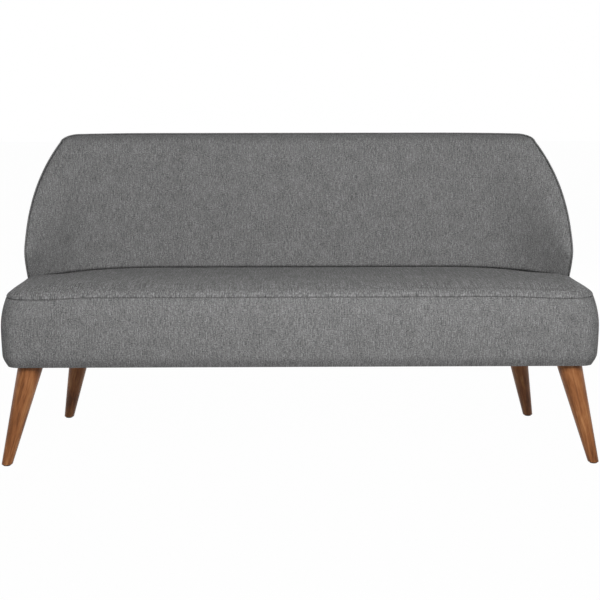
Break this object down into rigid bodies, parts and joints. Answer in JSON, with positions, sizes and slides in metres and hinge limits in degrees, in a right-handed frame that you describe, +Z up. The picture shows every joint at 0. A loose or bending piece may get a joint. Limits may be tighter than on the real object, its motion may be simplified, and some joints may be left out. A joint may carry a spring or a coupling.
{
  "type": "sofa",
  "caption": "Upholstered sofa in grey fabric: a deep slab seat, a slim back that wraps round into two cut-away wings, and splayed turned wooden legs.",
  "frame": {"origin": "centre of the floor rectangle under the whole sofa: midway between its extreme left and right, midway between its extreme front and rear, at floor level", "axes": "+Z up, -Y out of the front of the seat towards the person who sits down, +X to the right for someone who looks at the front"},
  "size_m": [1.6212, 0.6958, 0.8667],
  "materials": {
    "upholstery": "matt mid-grey woven upholstery with fine upright slubs",
    "walnut": "walnut-stained turned hardwood under satin lacquer",
    "felt": "dense dark felt",
    "steel": "plain zinc-plated steel",
    "frame_wood": "plain unfinished beech",
    "hardboard": "plain brown hardboard",
    "foam": "cut polyurethane foam",
    "wadding": "white polyester fibre wadding",
    "webbing": "dark woven elastic webbing",
    "dust_cloth": "black non-woven dust cloth"
  },
  "bodies": {
    "root": {"front_left_leg": "walnut", "front_right_leg": "walnut", "rear_left_leg": "walnut", "rear_right_leg": "walnut", "foot_pads": "felt", "leg_bolts": "steel", "tee_nuts": "steel", "leg_blocks": "frame_wood", "front_rail": "frame_wood", "rear_rail": "frame_wood", "left_rail": "frame_wood", "right_rail": "frame_wood", "left_corner_rail": "frame_wood", "right_corner_rail": "frame_wood", "cross_rails": "frame_wood", "rear_ledger": "frame_wood", "webbing_crosswise": "webbing", "webbing_lengthwise": "webbing", "seat_foam": "foam", "seat_wadding": "wadding", "seat_border_foam": "foam", "seat_top_cover": "upholstery", "seat_border_cover": "upholstery", "seat_welt": "upholstery", "dust_cover": "dust_cloth", "back_bottom_rib": "frame_wood", "back_middle_rib": "frame_wood", "back_top_rib": "frame_wood", "back_lower_posts": "frame_wood", "back_upper_posts": "frame_wood", "left_wing_panel": "frame_wood", "right_wing_panel": "frame_wood", "inside_back_board": "hardboard", "outside_back_board": "hardboard", "back_foam": "foam", "back_wadding": "wadding", "inside_back_cover": "upholstery", "outside_back_cover": "upholstery", "back_welt": "upholstery", "back_bolts": "steel"}
  },
  "joints": []
}
